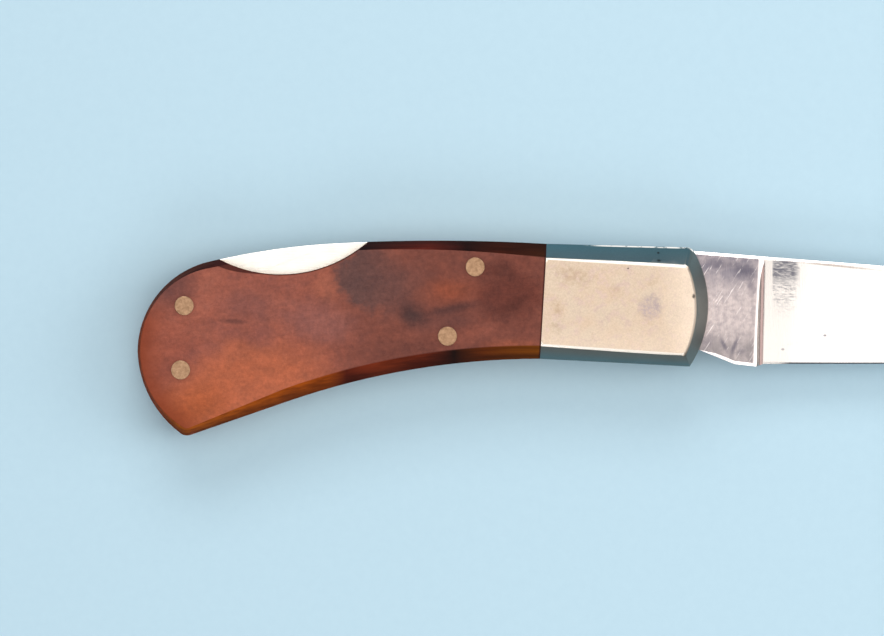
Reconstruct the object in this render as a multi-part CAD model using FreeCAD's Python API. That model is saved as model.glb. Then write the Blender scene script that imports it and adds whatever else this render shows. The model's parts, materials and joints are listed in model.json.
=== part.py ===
import FreeCAD
import Part
import math
import os

# Folding knife with a rear lock bar, lying open on its lower side.
# While it is modelled the blade pivot is the origin,
# +X points to the blade tip and +Y to the back of the handle.

# Handle, millimetres and degrees
handle_length = 90.0
handle_height = 18.8
nose_reach = 9.15
bolster_reach = 16.9
joint_tilt = 3.3
scale_thickness = 3.5
liner_thickness = 1.0
bevel_width = 2.0
bevel_depth = 2.9
thumb_notch_radius = 20.9
thumb_notch_depth = 3.88

# Pins and clearances
pivot_diameter = 3.3
pin_diameter = 3.0
washer_diameter = 8.0
washer_thickness = 0.15
side_play = 0.02
run_clearance = 0.03
seat_clearance = 0.01
overrun = 5.0

# Blade
blade_thickness = 2.5
tip_room = 11.85
tip_drop = 1.25
spine_gap = 0.17
spine_fall = 4.5
point_length = 32.0
chamfer_width = 0.45
chamfer_depth = 0.2
edge_drop = 9.0
belly_length = 27.0
throat_reach = 7.9
throat_drop = 6.8
kick_reach = 13.4
heel_reach = 16.9
heel_drop = 0.4
heel_step = 1.1
spine_land = 0.6
plunge_radius = 1.15
plunge_lean = 1.0
grind_half_edge = 0.13
edge_land = 0.04
edge_angle = 18.0
edge_bevel_reach = 2.0
nick_length = 12.0
nick_depth = 0.5
nick_drop = 2.3
nick_slope = 20.0
nick_back = 23.0

# Tang and lock
fold_angle = 165.5
rim_radius = 6.5
lug_front = 2.0
lug_length = 4.8
lug_gap = 0.06
shoulder_gap = 0.2
notch_depth = 0.87
closed_depth = 0.73
closed_lead = 0.45
hook_room = 0.5
recess_length = 2.2
recess_ramp = 2.5
kick_room = 0.65
boss_radius = 3.0
boss_ramp = 4.6
tail_gap = 0.3
tail_radius = 1.0
bar_side_gap = 0.06

# Spacer and spring
tail_room = 12.85
spacer_rake = 1.7
spring_thickness = 0.9
spring_side_gap = 0.1
spring_root_depth = 8.0
spring_root_drop = 4.5
spring_bend_radius = 15.0
spring_tip_radius = 10.0
spring_bend_angle = 25.0
spring_tip_gap = 0.05

# Outline of the handle, shares of nose reach before the pivot or butt reach behind it, and of handle height,
# then the inset of the flat face, shares of bevel width
back_corner_shares = (0.656, 0.500, -0.36, -1.49)
back_joint_shares = (-0.203, 0.530, 0.00, -1.13)
back_crown_shares = (-0.422, 0.557, 0.00, -0.73)
back_hump_shares = (-0.625, 0.532, 0.00, -0.65)
back_slope_shares = (-0.742, 0.479, 0.02, -0.64)
butt_top_shares = (-0.858, 0.383, 0.10, -0.52)
butt_shoulder_shares = (-0.957, 0.127, 0.22, -0.18)
butt_end_shares = (-1.000, -0.372, 0.25, 0.00)
butt_haunch_shares = (-0.971, -0.798, 0.24, 0.16)
heel_start_shares = (-0.915, -1.064, 0.32, 0.46)
heel_turn_shares = (-0.906, -1.078, 0.22, 0.58)
heel_end_shares = (-0.896, -1.073, 0.08, 0.64)
belly_rise_shares = (-0.705, -0.789, -0.33, 0.97)
belly_hollow_shares = (-0.470, -0.529, -0.18, 1.09)
edge_joint_shares = (-0.216, -0.435, 0.00, 1.05)
edge_corner_shares = (0.683, -0.500, -0.40, 0.88)
nose_shares = (1.000, -0.016, -1.00, 0.20)
front_corner_shares = (0.758, 0.466, -0.48, -1.35)
corner_turn_shares = (0.716, 0.486, -0.42, -1.42)

# Stretches of the outline: one point is a line to it, two are an arc through the first to the second
outline_run = [
    (back_joint_shares,),
    (back_crown_shares, back_hump_shares),
    (back_slope_shares, butt_top_shares),
    (butt_shoulder_shares, butt_end_shares),
    (butt_haunch_shares, heel_start_shares),
    (heel_turn_shares, heel_end_shares),
    (belly_rise_shares,),
    (belly_hollow_shares, edge_joint_shares),
    (edge_corner_shares,),
    (nose_shares, front_corner_shares),
    (corner_turn_shares, back_corner_shares),
]

# Pin places, shares of butt reach and handle height
butt_pin_top_shares = (-0.908, 0.010)
butt_pin_bottom_shares = (-0.915, -0.528)
lock_pin_shares = (-0.3415, 0.335)
rivet_shares = (-0.3955, -0.245)
thumb_notch_share = -0.7205

# Derived sizes and levels
butt_reach = handle_length - nose_reach
well_width = blade_thickness + 2 * (washer_thickness + side_play)
side_thickness = scale_thickness + liner_thickness
total_thickness = 2 * side_thickness + well_width
middle = total_thickness / 2
well_floor = side_thickness
well_roof = side_thickness + well_width
lug_rear = lug_front - lug_length
blade_reach = butt_reach - tip_room
belly_start = blade_reach - belly_length


def vector(x, y, z=0.0):
    return FreeCAD.Vector(x, y, z)


def turned(point, degrees):
    angle = math.radians(degrees)
    x = point.x * math.cos(angle) - point.y * math.sin(angle)
    y = point.x * math.sin(angle) + point.y * math.cos(angle)
    return vector(x, y)


def line(start, end):
    return Part.LineSegment(start, end).toShape()


def arc(start, through, end):
    return Part.Arc(start, through, end).toShape()


def tangent_arc(start, inward, end):
    # Arc that leaves start square to the unit vector inward, which points to its centre
    chord = end - start
    radius = chord.dot(chord) / (2 * chord.dot(inward))
    centre = start + inward * radius
    half_way = (start - centre) + (end - centre)
    half_way.normalize()
    return arc(start, centre + half_way * radius, end), centre


def face_of(edges):
    return Part.Face(Part.Wire(edges))


def polygon_face(points):
    return Part.Face(Part.makePolygon(points + points[:1]))


def raised(shape, height):
    return shape.translated(vector(0, 0, height))


def plate(face, floor, thickness):
    return raised(face, floor).extrude(vector(0, 0, thickness))


def mirrored_side(shape):
    return shape.mirror(vector(0, 0, middle), vector(0, 0, 1))


def hole(point, diameter, clearance):
    radius = diameter / 2 + clearance
    height = total_thickness + 2 * overrun
    return Part.makeCylinder(radius, height, vector(point.x, point.y, -overrun))


def place(shares):
    along_share, across_share = shares
    return vector(along_share * butt_reach, across_share * handle_height)


pivot_point = vector(0, 0)
butt_pin_top_point = place(butt_pin_top_shares)
butt_pin_bottom_point = place(butt_pin_bottom_shares)
lock_pin_point = place(lock_pin_shares)
rivet_point = place(rivet_shares)


def handle_point(shares, inset):
    along_share, across_share, inset_along_share, inset_across_share = shares
    reach = nose_reach if along_share > 0 else butt_reach
    x = along_share * reach + inset * inset_along_share * bevel_width
    y = across_share * handle_height + inset * inset_across_share * bevel_width
    return vector(x, y)


def handle_edges(inset):
    here = handle_point(back_corner_shares, inset)
    edges = []
    for stretch in outline_run:
        points = [handle_point(shares, inset) for shares in stretch]
        edges.append(line(here, points[0]) if len(points) == 1 else arc(here, points[0], points[1]))
        here = points[-1]
    return edges


def handle_face():
    return face_of(handle_edges(0))


def back_height(x):
    # Height of the straight back over the bolster
    front = handle_point(back_corner_shares, 0)
    rear = handle_point(back_joint_shares, 0)
    return front.y + (rear.y - front.y) * (x - front.x) / (rear.x - front.x)


def thumb_notch():
    back = handle_point(back_slope_shares, 0)
    centre_x = thumb_notch_share * butt_reach
    centre_y = back.y - thumb_notch_depth + thumb_notch_radius
    return hole(vector(centre_x, centre_y), 2 * thumb_notch_radius, 0)


def side_slab():
    # Bolster and scale of the upper side in one piece: a straight land, then bevels up to the flat face
    outer = Part.Wire(handle_edges(0))
    flat = Part.Wire(handle_edges(1))
    floor = total_thickness - scale_thickness
    land = total_thickness - bevel_depth
    sections = [raised(outer, floor), raised(outer, land), raised(flat, total_thickness)]
    return Part.makeLoft(sections, True, True)


def bolster_block():
    # Everything before the slanted joint between bolster and scale
    lean = math.tan(math.radians(joint_tilt)) * handle_height
    front = nose_reach + overrun
    face = polygon_face([
        vector(-bolster_reach + lean, handle_height),
        vector(-bolster_reach - lean, -handle_height),
        vector(front, -handle_height),
        vector(front, handle_height),
    ])
    return plate(face, -overrun, total_thickness + 2 * overrun)


def upper_bolster():
    slab = side_slab().common(bolster_block())
    return slab.cut(hole(pivot_point, pivot_diameter, seat_clearance))


def upper_scale():
    scale = side_slab().cut(bolster_block()).cut(thumb_notch())
    for point in (butt_pin_top_point, butt_pin_bottom_point, lock_pin_point, rivet_point):
        scale = scale.cut(hole(point, pin_diameter, seat_clearance))
    return scale


def upper_liner():
    liner = plate(handle_face(), well_roof, liner_thickness).cut(thumb_notch())
    liner = liner.cut(hole(pivot_point, pivot_diameter, seat_clearance))
    for point in (butt_pin_top_point, butt_pin_bottom_point, lock_pin_point, rivet_point):
        liner = liner.cut(hole(point, pin_diameter, seat_clearance))
    return liner


def through_pin(point, diameter):
    return Part.makeCylinder(diameter / 2, total_thickness, point)


def upper_rivet():
    return Part.makeCylinder(pin_diameter / 2, side_thickness, rivet_point + vector(0, 0, well_roof))


def upper_washer():
    floor = well_roof - washer_thickness
    disc = Part.makeCylinder(washer_diameter / 2, washer_thickness, vector(0, 0, floor))
    return disc.cut(hole(pivot_point, pivot_diameter, run_clearance))


def spine_point(x):
    return vector(x, back_height(0) - spine_gap - math.tan(math.radians(spine_fall)) * x)


def round_point(radius, x):
    # Point on the upper half of a circle round the pivot
    return vector(x, math.sqrt(radius ** 2 - x ** 2))


def kick_points():
    # Underside of the tang from its throat to the heel of the edge
    return [
        vector(throat_reach, -throat_drop),
        vector(kick_reach, -edge_drop),
        vector(heel_reach, -edge_drop - heel_drop),
    ]


def tang_edges():
    shoulder = spine_point(lug_front + shoulder_gap)
    hook = round_point(rim_radius, lug_rear - shoulder_gap)
    notch_floor = hook.y - notch_depth
    flat_front = lug_front + closed_lead
    flat_rear = lug_rear - closed_lead
    closed_flat = round_point(rim_radius, flat_rear).y - closed_depth
    rim_end = turned(round_point(rim_radius, flat_front), fold_angle)
    points = [shoulder, vector(shoulder.x, notch_floor), vector(hook.x, notch_floor), hook]
    edges = [line(a, b) for a, b in zip(points, points[1:])]
    edges.append(arc(hook, vector(-rim_radius, 0), rim_end))
    points = [
        rim_end,
        turned(vector(flat_front, closed_flat), fold_angle),
        turned(vector(flat_rear, closed_flat), fold_angle),
    ]
    points += kick_points() + [vector(heel_reach + heel_step, -edge_drop)]
    return edges + [line(a, b) for a, b in zip(points, points[1:])]


def belly():
    start = vector(belly_start, -edge_drop)
    return tangent_arc(start, vector(0, 1), vector(blade_reach, -tip_drop))


def blade_face():
    edges = tang_edges()
    edges.append(line(vector(heel_reach + heel_step, -edge_drop), vector(belly_start, -edge_drop)))
    edges.append(belly()[0])
    fall = math.radians(spine_fall)
    bend = spine_point(blade_reach - point_length)
    tip = vector(blade_reach, -tip_drop)
    edges.append(tangent_arc(bend, vector(-math.sin(fall), -math.cos(fall)), tip)[0])
    edges.append(line(bend, spine_point(lug_front + shoulder_gap)))
    return Part.Face(Part.Wire(Part.sortEdges(edges)[0]))


def along_edge(profile):
    # Cutter that follows the straight edge and the belly, from its profile where the two meet
    centre = belly()[1]
    back = profile.extrude(vector(heel_reach - belly_start - overrun, 0, 0))
    sweep = math.degrees(math.atan2(blade_reach + overrun - belly_start, centre.y + tip_drop))
    return back.fuse(profile.revolve(centre, vector(0, 0, 1), sweep))


def plunge_plane():
    # Foot of the plunge line on the edge, and the unit vector square to it
    lean = math.radians(plunge_lean)
    return vector(heel_reach, -edge_drop), vector(math.cos(lean), -math.sin(lean))


def grind_height():
    # From the edge up to the top of the hollow grind
    return spine_point(heel_reach + heel_step).y - spine_land + edge_drop


def wheel_radius():
    rise = blade_thickness / 2 - grind_half_edge
    return (grind_height() ** 2 + rise ** 2) / (2 * rise)


def grind_half(up):
    # Half thickness left by the grinding wheel at a height above the edge
    return grind_half_edge + wheel_radius() - math.sqrt(wheel_radius() ** 2 - up ** 2)


def wheel_point(up):
    return vector(belly_start, up - edge_drop, middle + grind_half(up))


def hollow_cutter():
    low = wheel_point(-spine_land)
    high = wheel_point(grind_height() + spine_land)
    roof = middle + blade_thickness + plunge_radius
    low_roof = vector(belly_start, low.y, roof)
    high_roof = vector(belly_start, high.y, roof)
    profile = face_of([
        arc(low, wheel_point(grind_height() / 2), high),
        line(high, high_roof),
        line(high_roof, low_roof),
        line(low_roof, low),
    ])
    cutter = along_edge(profile)
    foot, ahead = plunge_plane()
    upright = turned(ahead, 90)
    corners = [
        foot - upright * handle_height,
        foot + upright * 2 * handle_height,
        foot + upright * 2 * handle_height - ahead * handle_height,
        foot - upright * handle_height - ahead * handle_height,
    ]
    cutter = cutter.cut(plate(polygon_face(corners), 0, total_thickness + overrun))
    on_plunge = [
        edge for edge in cutter.Edges
        if all(abs((vertex.Point - foot).dot(ahead)) < seat_clearance for vertex in edge.Vertexes)
    ]
    lowest = min(on_plunge, key=lambda edge: edge.CenterOfMass.z)
    return cutter.makeFillet(plunge_radius, [lowest])


def edge_cutter():
    slope = math.tan(math.radians(edge_angle))
    roof = middle + blade_thickness
    outer = -edge_drop - edge_bevel_reach
    inner = -edge_drop + edge_bevel_reach
    profile = polygon_face([
        vector(belly_start, outer, middle + edge_land / 2 - edge_bevel_reach * slope),
        vector(belly_start, inner, middle + edge_land / 2 + edge_bevel_reach * slope),
        vector(belly_start, inner, roof),
        vector(belly_start, outer, roof),
    ])
    start = Part.makeBox(handle_length, handle_length, total_thickness)
    start.translate(vector(heel_reach + heel_step - handle_length, -handle_length / 2, 0))
    return along_edge(profile).cut(start)


def nail_nick():
    # Crescent with a steep wall towards the spine and a slope towards the edge
    radius = ((nick_length / 2) ** 2 + nick_depth ** 2) / (2 * nick_depth)
    width = 2 * nick_depth / math.tan(math.radians(nick_slope))
    shrink = 2 * nick_depth
    fall = math.radians(spine_fall)
    wall = spine_point(blade_reach - nick_back) - vector(0, nick_drop)
    face = middle + grind_half(wall.y + edge_drop)
    centre = wall + vector(0, 0, face + radius - nick_depth)
    return Part.makeCone(radius, radius - shrink, width, centre, vector(-math.sin(fall), -math.cos(fall)))


def with_chamfers(blank):
    # Along the spine and under the tang, where the blade stays at full thickness
    def on_spine(end):
        return abs(end.y - spine_point(end.x).y) < seat_clearance

    def on_kick(end):
        return any((vector(end.x, end.y) - point).Length < seat_clearance for point in kick_points())

    chosen = []
    for edge in blank.Edges:
        ends = [vertex.Point for vertex in edge.Vertexes]
        level = abs(ends[0].z - ends[-1].z) < seat_clearance
        if level and (all(map(on_spine, ends)) or all(map(on_kick, ends))):
            chosen.append(edge)
    return blank.makeChamfer(chamfer_depth, chamfer_width, chosen)


def blade():
    shape = plate(blade_face(), middle - blade_thickness / 2, blade_thickness)
    shape = with_chamfers(shape)
    for cutter in (hollow_cutter(), edge_cutter()):
        shape = shape.cut(cutter).cut(mirrored_side(cutter))
    shape = shape.cut(nail_nick())
    return shape.cut(hole(pivot_point, pivot_diameter, run_clearance))


def tail_x():
    return -(butt_reach - tail_room)


def bar_under():
    # Underside of the lock bar before its boss, clear of the folded kick
    return turned(vector(kick_reach, -edge_drop), -fold_angle).y + kick_room


def tail_under():
    # Underside of the lock bar behind its boss
    return lock_pin_point.y - boss_radius


def lock_bar():
    reach = rim_radius + lug_gap
    above = handle_height
    recess = rim_radius + hook_room
    lug_front_foot = round_point(reach, lug_front)
    lug_rear_foot = round_point(reach, lug_rear)
    recess_rear = lug_rear - recess_length
    boss = lock_pin_point
    points = [
        lug_rear_foot,
        vector(lug_rear, recess),
        vector(recess_rear, recess),
        vector(recess_rear - recess_ramp, bar_under()),
        vector(boss.x + boss_radius + boss_ramp, bar_under()),
        vector(boss.x, tail_under()),
        vector(tail_x(), tail_under()),
        vector(tail_x(), above),
        vector(lug_front, above),
        lug_front_foot,
    ]
    edges = [line(a, b) for a, b in zip(points, points[1:])]
    edges.append(arc(lug_front_foot, vector(0, reach), lug_rear_foot))
    thickness = well_width - 2 * bar_side_gap
    floor = well_floor + bar_side_gap
    shape = plate(face_of(edges), floor, thickness).common(plate(handle_face(), floor, thickness))
    shape = shape.fuse(Part.makeCylinder(boss_radius, thickness, boss + vector(0, 0, floor)))
    shape = shape.removeSplitter()
    corner = [
        edge for edge in shape.Edges
        if all(abs(v.X - tail_x()) + abs(v.Y - tail_under()) < seat_clearance for v in edge.Vertexes)
    ]
    shape = shape.makeFillet(tail_radius, corner)
    return shape.cut(hole(boss, pin_diameter, run_clearance))


def spacer_front(share):
    return tail_x() - tail_gap - share * spacer_rake


def spring_root():
    return vector(spacer_front(0.5), -spring_root_drop)


def butt_spacer():
    far = -butt_reach - overrun
    low = handle_point(heel_turn_shares, 0).y - overrun
    face = polygon_face([
        vector(spacer_front(0), handle_height),
        vector(spacer_front(1), low),
        vector(far, low),
        vector(far, handle_height),
    ])
    shape = plate(face, well_floor, well_width).common(plate(handle_face(), well_floor, well_width))
    root = spring_root()
    slot_height = spring_thickness + 2 * seat_clearance
    slot = Part.makeBox(spring_root_depth + overrun, slot_height, well_width)
    slot.translate(vector(root.x - spring_root_depth, root.y - slot_height / 2, well_floor))
    shape = shape.cut(slot)
    for point in (butt_pin_top_point, butt_pin_bottom_point):
        shape = shape.cut(hole(point, pin_diameter, seat_clearance))
    return shape


def bend_chord(angle, radius):
    # From the start of a bend to its end, where it starts level
    return vector(math.sin(angle), 1 - math.cos(angle)) * radius


def leaf_spring():
    root = spring_root()
    bend = math.radians(spring_bend_angle)
    first = bend_chord(bend, spring_bend_radius)
    last = bend_chord(bend, spring_tip_radius)
    rise = tail_under() - spring_tip_gap - spring_thickness / 2 - root.y
    run = (rise - first.y - last.y) / math.sin(bend)
    heel = root - vector(spring_root_depth - seat_clearance, 0)
    lift_off = root + first
    level_off = lift_off + vector(math.cos(bend), math.sin(bend)) * run
    tip = level_off + last
    first_half = bend_chord(bend / 2, spring_bend_radius)
    last_half = bend_chord(bend / 2, spring_tip_radius)
    path = Part.Wire([
        line(heel, root),
        arc(root, root + first_half, lift_off),
        line(lift_off, level_off),
        arc(level_off, tip - last_half, tip),
    ])
    width = well_width - 2 * spring_side_gap
    across = spring_thickness / 2
    section = Part.makePolygon([
        vector(heel.x, heel.y - across, -width / 2),
        vector(heel.x, heel.y + across, -width / 2),
        vector(heel.x, heel.y + across, width / 2),
        vector(heel.x, heel.y - across, width / 2),
        vector(heel.x, heel.y - across, -width / 2),
    ])
    return raised(path.makePipeShell([section], True, False), middle)


def pieces():
    made = {
        "blade": blade(),
        "lock_bar": lock_bar(),
        "butt_spacer": butt_spacer(),
        "leaf_spring": leaf_spring(),
        "pivot_pin": through_pin(pivot_point, pivot_diameter),
        "lock_bar_pin": through_pin(lock_pin_point, pin_diameter),
        "butt_pin_top": through_pin(butt_pin_top_point, pin_diameter),
        "butt_pin_bottom": through_pin(butt_pin_bottom_point, pin_diameter),
    }
    paired = {
        "bolster": upper_bolster(),
        "scale": upper_scale(),
        "liner": upper_liner(),
        "scale_rivet": upper_rivet(),
        "pivot_washer": upper_washer(),
    }
    for name, shape in paired.items():
        made[name + "_upper"] = shape
        made[name + "_lower"] = mirrored_side(shape)
    return made


def main():
    made = pieces()
    box = Part.makeCompound(list(made.values())).optimalBoundingBox()
    shift = vector(-box.Center.x, -box.Center.y, -box.ZMin)
    os.makedirs("parts", exist_ok=True)
    for name, shape in made.items():
        shape.translated(shift).exportStep("parts/" + name + ".step")
    print("blade pivot at", shift)
    print("lock bar pivot at", lock_pin_point + shift)


main()
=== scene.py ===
import bmesh
import bpy
import json
import math
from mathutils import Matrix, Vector


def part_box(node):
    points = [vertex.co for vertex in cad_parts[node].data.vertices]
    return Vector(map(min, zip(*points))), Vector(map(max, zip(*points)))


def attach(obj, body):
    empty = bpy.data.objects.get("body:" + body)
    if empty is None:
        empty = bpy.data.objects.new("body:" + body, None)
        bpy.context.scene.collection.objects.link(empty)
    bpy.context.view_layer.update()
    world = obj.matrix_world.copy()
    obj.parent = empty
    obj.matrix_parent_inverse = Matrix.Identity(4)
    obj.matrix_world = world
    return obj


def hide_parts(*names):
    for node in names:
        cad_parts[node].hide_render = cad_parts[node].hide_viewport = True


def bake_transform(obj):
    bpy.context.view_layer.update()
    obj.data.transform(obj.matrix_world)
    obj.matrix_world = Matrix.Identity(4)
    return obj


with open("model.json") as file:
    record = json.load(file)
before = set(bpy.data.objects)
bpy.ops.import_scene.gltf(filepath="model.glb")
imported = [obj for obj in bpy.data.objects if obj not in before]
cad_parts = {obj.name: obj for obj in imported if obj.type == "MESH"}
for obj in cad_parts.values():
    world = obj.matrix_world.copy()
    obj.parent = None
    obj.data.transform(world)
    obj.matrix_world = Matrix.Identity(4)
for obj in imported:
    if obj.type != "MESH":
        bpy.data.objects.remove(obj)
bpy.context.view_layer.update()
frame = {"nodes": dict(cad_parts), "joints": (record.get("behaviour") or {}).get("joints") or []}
nodes = frame["nodes"]
scene = bpy.context.scene
hinges = {joint["name"]: Vector(joint["pos_m"]) for joint in frame["joints"]}
pivot = hinges["blade_pivot"]
mm = 0.001
onePoint = 0.001 * mm  # points closer than this are the same
oneFlat = math.radians(0.1)  # faces that turn less than this are the same
scalePins = ("butt_pin_top", "butt_pin_bottom", "lock_bar_pin", "scale_rivet_upper")
print("frame loaded:", len(nodes), "nodes")

# camera straight above, as the picture was taken
shot = {
    "centre": (-26.9 * mm, 3.16 * mm),
    "frameWidth": 139.46 * mm,  # what the image is wide, at the rim of the handle
    "rimHeight": 8.94 * mm,
    "lens": 300.0,
    "sensor": 36.0,
    "clip": (0.01, 20.0),
}


def placeCamera():
    data = bpy.data.cameras.new("camera")
    data.lens = shot["lens"]
    data.sensor_width = shot["sensor"]
    data.clip_start, data.clip_end = shot["clip"]
    distance = shot["frameWidth"] * shot["lens"] / shot["sensor"]
    camera = bpy.data.objects.new("camera", data)
    camera.location = (*shot["centre"], shot["rimHeight"] + distance)
    scene.collection.objects.link(camera)
    scene.camera = camera


placeCamera()
print("camera placed")

# soft studio light: boxes overhead, behind the back, before the edge and past the tip, and the room itself
studio = {
    "room": (0.84, 0.90, 0.95),
    "roomStrength": 0.42,
    # place, width and height, power, colour
    "boxes": {
        "overhead": ((-0.02, 0.03, 0.62), (0.62, 0.46), 1.30, (1.0, 0.965, 0.93)),
        "back": ((-0.10, 0.62, 0.54), (0.60, 0.30), 2.2, (1.0, 0.98, 0.96)),
        "front": ((0.06, -0.60, 0.54), (0.60, 0.30), 1.2, (1.0, 0.98, 0.96)),
        "right": ((0.56, 0.02, 0.46), (0.50, 0.58), 2.0, (1.0, 0.97, 0.95)),
    },
}


def lightStudio():
    world = bpy.data.worlds.new("room")
    world.use_nodes = True
    back = world.node_tree.nodes["Background"]
    back.inputs["Color"].default_value = (*studio["room"], 1)
    back.inputs["Strength"].default_value = studio["roomStrength"]
    scene.world = world
    for name, (at, size, power, colour) in studio["boxes"].items():
        data = bpy.data.lights.new(name, "AREA")
        data.shape = "RECTANGLE"
        data.size, data.size_y = size
        data.energy = power
        data.color = colour
        lamp = bpy.data.objects.new(name, data)
        lamp.location = at
        aim = pivot - Vector(at)
        lamp.rotation_euler = aim.to_track_quat("-Z", "Y").to_euler()
        lamp.visible_camera = False
        scene.collection.objects.link(lamp)
    scene.view_settings.view_transform = "Standard"


lightStudio()
print("studio lit")


# small helpers for shader nodes
def tint(red, green, blue):
    # colour as it looks on screen, 0 to 255
    def straight(value):
        value = value / 255
        return value / 12.92 if value <= 0.04045 else ((value + 0.055) / 1.055) ** 2.4
    return (straight(red), straight(green), straight(blue), 1.0)


def put(tree, kind, inputs=None, **settings):
    node = tree.nodes.new("ShaderNode" + kind)
    for key, value in settings.items():
        setattr(node, key, value)
    for key, value in (inputs or {}).items():
        if isinstance(value, bpy.types.NodeSocket):
            tree.links.new(value, node.inputs[key])
        else:
            node.inputs[key].default_value = value
    return node


def startMaterial(name, fixed):
    material = bpy.data.materials.new(name)
    material.use_nodes = True
    tree = material.node_tree
    shader = tree.nodes["Principled BSDF"]
    for socket, value in fixed.items():
        shader.inputs[socket].default_value = value
    coords = put(tree, "TexCoord").outputs
    place = put(tree, "Mapping", {"Vector": coords["Object"], "Scale": (1 / mm, 1 / mm, 1 / mm)})
    return material, tree, shader, place.outputs["Vector"], coords["Normal"]  # place is in millimetres


def wire(tree, shader, sockets):
    for socket, value in sockets.items():
        tree.links.new(value, shader.inputs[socket])


def split(tree, vector):
    return put(tree, "SeparateXYZ", {0: vector}).outputs


def stretch(tree, place, scale, turn=0.0):
    rotation = (0, 0, math.radians(turn))
    values = {"Vector": place, "Rotation": rotation, "Scale": [1 / part for part in scale]}
    return put(tree, "Mapping", values, vector_type="TEXTURE").outputs["Vector"]


def noise(tree, place, scale, detail=4.0, rough=0.5, warp=0.0):
    values = {"Vector": place, "Scale": scale, "Detail": detail, "Roughness": rough, "Distortion": warp}
    return put(tree, "TexNoise", values).outputs["Fac"]


def calc(tree, operation, a, b=0.0):
    return put(tree, "Math", {0: a, 1: b}, operation=operation).outputs[0]


def plus(tree, a, b):
    return calc(tree, "ADD", a, b)


def minus(tree, a, b):
    return calc(tree, "SUBTRACT", a, b)


def times(tree, first, *others):
    for other in others:
        first = calc(tree, "MULTIPLY", first, other)
    return first


def vectorCalc(tree, operation, a, b=(0, 0, 0)):
    return put(tree, "VectorMath", {0: a, 1: b}, operation=operation).outputs


def remap(tree, value, low, high, toLow=0.0, toHigh=1.0):
    values = {"Value": value, "From Min": low, "From Max": high, "To Min": toLow, "To Max": toHigh}
    return put(tree, "MapRange", values, interpolation_type="SMOOTHSTEP").outputs["Result"]


def between(tree, amount, a, b):
    return put(tree, "Mix", {0: amount, 2: a, 3: b}).outputs[0]


def mix(tree, amount, a, b, blend="MIX"):
    return put(tree, "Mix", {0: amount, 6: a, 7: b}, data_type="RGBA", blend_type=blend).outputs[2]


def ramp(tree, value, stops):
    node = put(tree, "ValToRGB", {"Fac": value})
    while len(node.color_ramp.elements) < len(stops):
        node.color_ramp.elements.new(0.5)
    for element, (position, colour) in zip(node.color_ramp.elements, stops):
        element.position = position
        element.color = colour
    return node.outputs["Color"]


def tone(tree, colour, value, strength, stops):
    # darkens and lightens a colour by a noise
    return mix(tree, strength, colour, ramp(tree, value, stops), "MULTIPLY")


def patch(tree, place, centre, size, turn=0.0, ragged=0.0, grain=0.35, core=0.35):
    # soft spot round a point, from 0 outside to 1 at its core, all through the knife
    through = 10000
    local = put(tree, "Mapping", {
        "Vector": place,
        "Location": (centre[0], centre[1], 0),
        "Rotation": (0, 0, math.radians(turn)),
        "Scale": (*size, through),
    }, vector_type="TEXTURE").outputs["Vector"]
    reach = vectorCalc(tree, "LENGTH", local)["Value"]
    if ragged:
        edge = minus(tree, noise(tree, place, grain, 5, 0.6), 0.5)
        reach = plus(tree, reach, times(tree, edge, ragged))
    return remap(tree, reach, 1.0, core)


def bump(tree, height, depth):
    return put(tree, "Bump", {"Height": height, "Distance": depth * mm, "Strength": 1.0}).outputs["Normal"]


def scratches(tree, place, turn, sparse, length=0.05, width=5.0):
    # thin lines along one direction, fewer where sparse is higher
    lines = noise(tree, stretch(tree, place, (length, width, width), turn), 1.0, 3, 0.6)
    return remap(tree, lines, 0.5 + sparse, 0.5 + sparse + 0.06)


def facing(tree, normal, low, high):
    # 1 on the flat sides, 0 on bevels and rims
    return remap(tree, calc(tree, "ABSOLUTE", split(tree, normal)["Z"]), low, high)


def fromMiddle(tree, height):
    # millimetres up or down from the middle of the knife
    return calc(tree, "ABSOLUTE", minus(tree, height, pivot.z / mm))


def shadeNode(name, material):
    mesh = nodes[name].data
    mesh.materials.clear()
    mesh.materials.append(material)


def middle(name):
    low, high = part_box(name)
    return ((low + high) / 2) / mm


# floor, a plain pale sheet
floorSheet = {
    "size": 6.0,
    "level": -0.05 * mm,
    "colour": tint(192, 219, 232),
    "shade": tint(185, 213, 227),
    "fibre": (0.6, 6, 0.65),
    "finish": {"Roughness": 0.9, "Specular IOR Level": 0.15},
}


def layFloor():
    bpy.ops.object.select_all(action="DESELECT")
    bpy.ops.mesh.primitive_plane_add(size=floorSheet["size"], location=(0, 0, floorSheet["level"]))
    floor = bpy.context.object
    floor.name = "floor"
    material, tree, shader, place, _ = startMaterial("floorPaper", floorSheet["finish"])
    fibre = noise(tree, place, *floorSheet["fibre"])
    wire(tree, shader, {"Base Color": mix(tree, fibre, floorSheet["colour"], floorSheet["shade"])})
    floor.data.materials.append(material)


layFloor()
print("floor laid")

# in the finishes, places and sizes are in millimetres and turns in degrees
# a noise has its scale, detail, roughness and warp, a run has the stretch and turn of a noise
# a fade has where it starts and ends, and the strengths there if they aren't 0 and 1

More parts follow.
